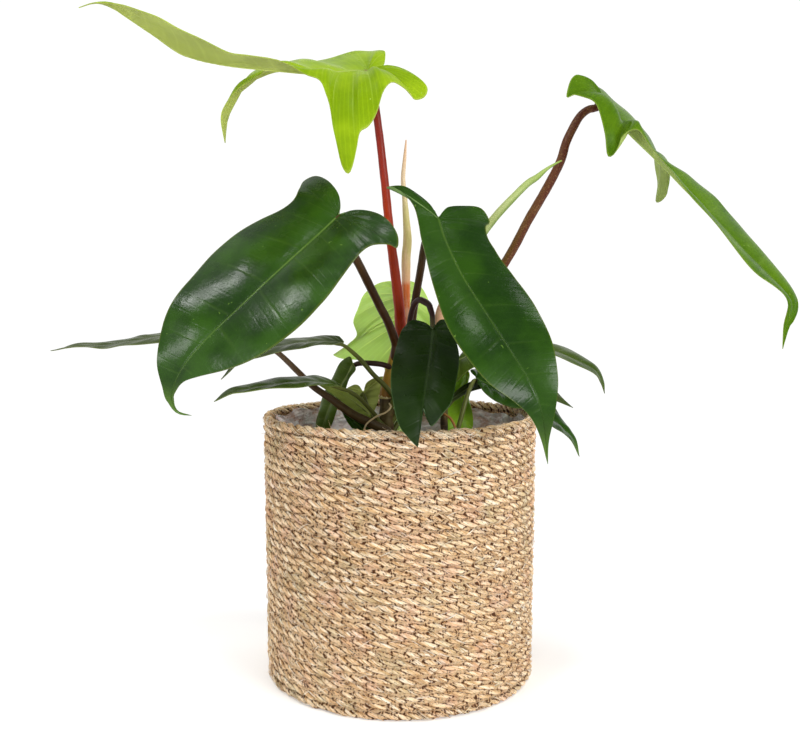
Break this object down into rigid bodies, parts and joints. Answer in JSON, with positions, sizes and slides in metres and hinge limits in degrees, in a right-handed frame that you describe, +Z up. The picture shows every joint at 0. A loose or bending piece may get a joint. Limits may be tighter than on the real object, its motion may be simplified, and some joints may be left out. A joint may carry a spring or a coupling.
{
  "type": "potted philodendron",
  "caption": "Potted climbing philodendron with large lobed glossy leaves on long stalks, standing in a round woven seagrass basket.",
  "frame": {"origin": "centre of the basket's flat base, on the surface that it stands on", "axes": "+Z up, the side that is seen first faces -Y, and the far-reaching leaf spreads towards -X"},
  "size_m": [0.4741, 0.2085, 0.4133],
  "materials": {
    "black_pot": "satin",
    "blue_leaf": "waxy, semi-gloss",
    "bright_leaf": "waxy, semi-gloss",
    "brown_stalk": "smooth, semi-gloss",
    "clear_film": "clear film, glossy",
    "dark_leaf": "waxy, glossy",
    "lime_leaf": "waxy, semi-gloss",
    "olive_leaf": "satin",
    "olive_stalk": "smooth, semi-gloss",
    "orange_sheath": "satin",
    "pale_leaf": "satin underside",
    "pale_root": "matte",
    "peach_sheath": "satin",
    "red_stalk": "smooth, semi-gloss",
    "seagrass": "woven seagrass, matte",
    "soil": "crumbly, matte",
    "stem_bark": "rough, matte",
    "young_leaf": "satin"
  },
  "bodies": {
    "root": {"seagrass_basket": "seagrass", "liner_film": "clear_film", "nursery_pot": "black_pot", "potting_soil": "soil", "blade_front_left": "dark_leaf", "blade_front_right": "dark_leaf", "blade_front_centre": "blue_leaf", "blade_upper_left": "lime_leaf", "blade_upper_right": "bright_leaf", "blade_back": "pale_leaf", "blade_low_right": "dark_leaf", "blade_low_right_under": "olive_leaf", "blade_low_right_side": "olive_leaf", "blade_pale_right": "young_leaf", "blade_low_inner": "olive_leaf", "blade_inner_left": "blue_leaf", "blade_left_upper": "olive_leaf", "blade_left_lower": "olive_leaf", "blade_far_left": "olive_leaf", "blade_low_left": "bright_leaf", "blade_low_front": "dark_leaf", "main_stem": "stem_bark", "second_stem": "stem_bark", "leaf_base_sheath": "orange_sheath", "peach_sheath": "peach_sheath", "new_leaf_spear": "young_leaf", "stalk_upper_left": "red_stalk", "stalk_back": "olive_stalk", "spear_sheath": "orange_sheath", "stalk_front_right": "brown_stalk", "stalk_front_left": "brown_stalk", "stalk_front_centre": "brown_stalk", "stalk_upper_right": "brown_stalk", "stalk_pale_right": "olive_stalk", "stalk_low_right_under": "olive_stalk", "stalk_low_right": "olive_stalk", "stalk_low_right_side": "olive_stalk", "stalk_left_upper": "olive_stalk", "stalk_left_lower": "olive_stalk", "stalk_far_left": "brown_stalk", "stalk_inner_left": "brown_stalk", "stalk_low_inner": "olive_stalk", "stalk_low_left": "olive_stalk", "stalk_low_front": "olive_stalk", "aerial_root": "pale_root", "tendril": "brown_stalk"}
  },
  "joints": []
}
